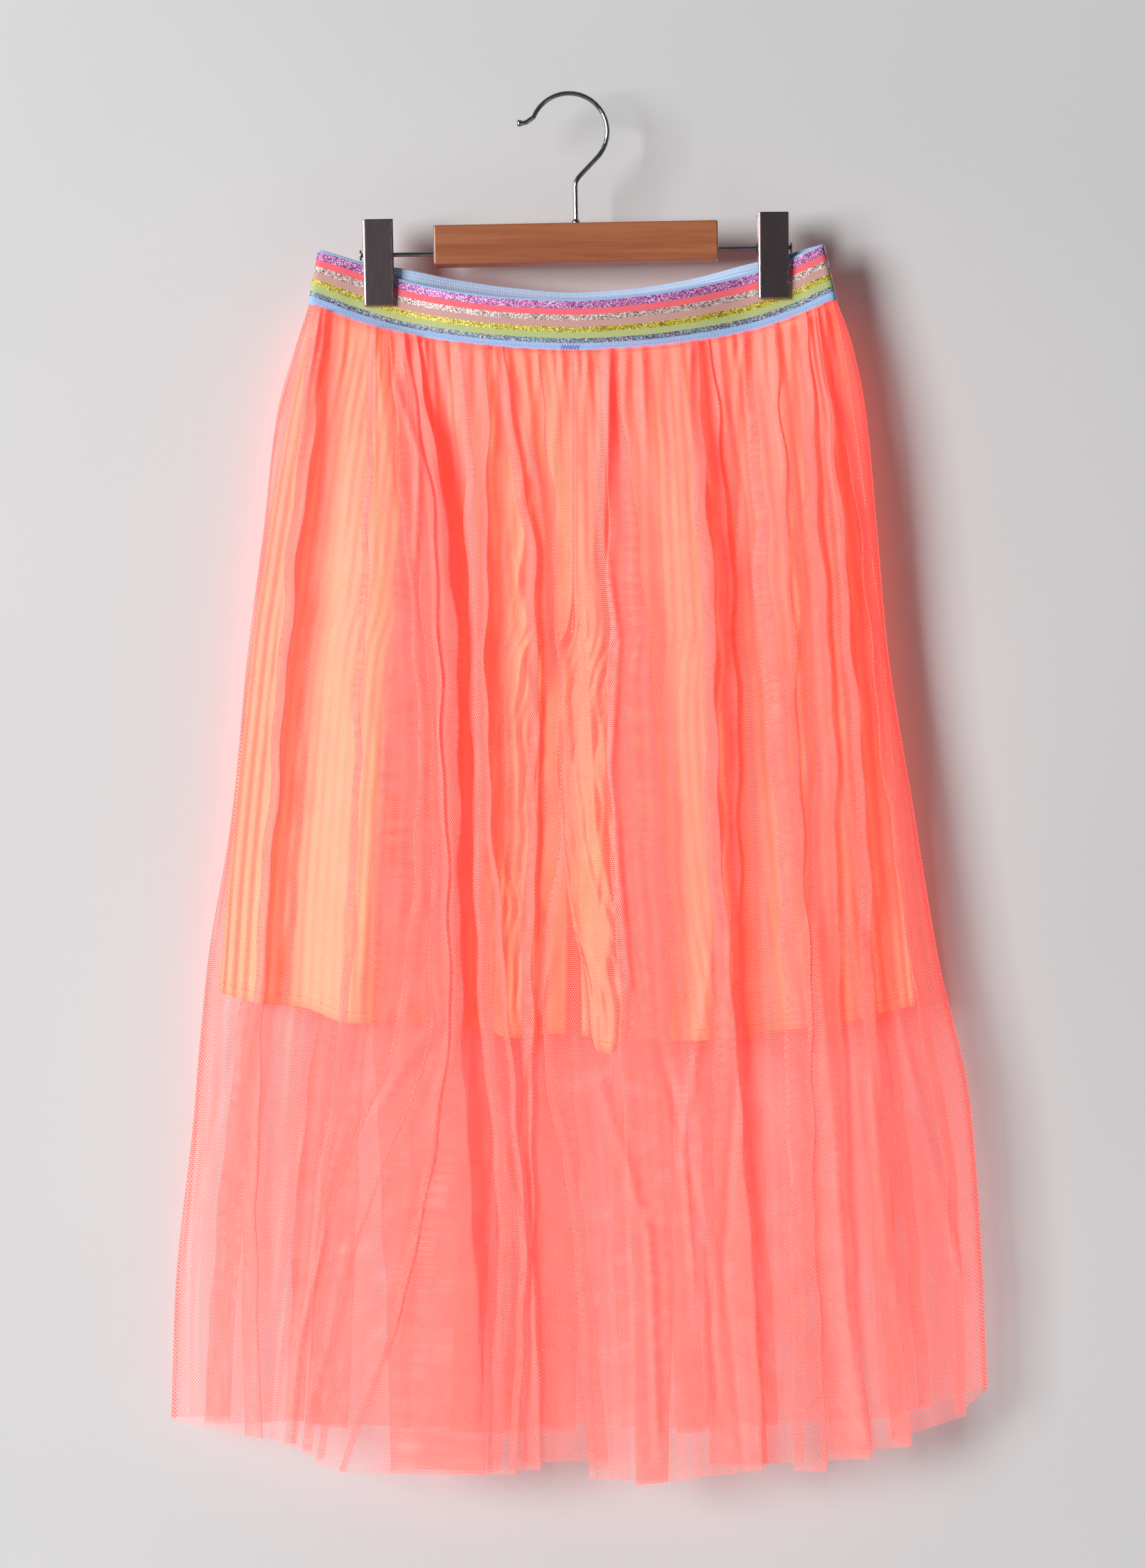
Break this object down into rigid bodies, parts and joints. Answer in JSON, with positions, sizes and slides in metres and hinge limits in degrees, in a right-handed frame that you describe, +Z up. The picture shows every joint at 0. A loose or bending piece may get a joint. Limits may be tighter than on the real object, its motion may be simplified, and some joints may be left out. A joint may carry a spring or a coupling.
{
  "type": "skort on a clip hanger",
  "caption": "Girl's skort: a long gathered net skirt over pleated shorts on a wide striped elastic band, hung from a wooden clip hanger.",
  "frame": {"origin": "the place inside the top of the hook that rests on a rail", "axes": "+Z up, -Y out of the front of the skort, +X to the right as seen from the front"},
  "size_m": [0.5332, 0.0502, 0.9046],
  "materials": {
    "elastic": "knitted elastic with woven stripes, some of glitter thread",
    "net": "fine soft net, neon coral",
    "pleated_cloth": "thin smooth cloth with fine pressed pleats, neon coral orange",
    "wood": "lacquered, reddish brown",
    "chrome": "polished",
    "clip_steel": "plated sheet, dark reflections"
  },
  "bodies": {
    "root": {"waistband": "elastic", "tulle_front": "net", "tulle_back": "net", "shorts_left_front": "pleated_cloth", "shorts_left_back": "pleated_cloth", "shorts_right_front": "pleated_cloth", "shorts_right_back": "pleated_cloth", "hanger_bar": "wood", "hanger_rod": "chrome", "hanger_hook": "chrome", "hook_ferrule": "chrome", "clip_left_front": "clip_steel", "clip_left_back": "clip_steel", "clip_left_spring": "chrome", "clip_right_front": "clip_steel", "clip_right_back": "clip_steel", "clip_right_spring": "chrome"}
  },
  "joints": []
}
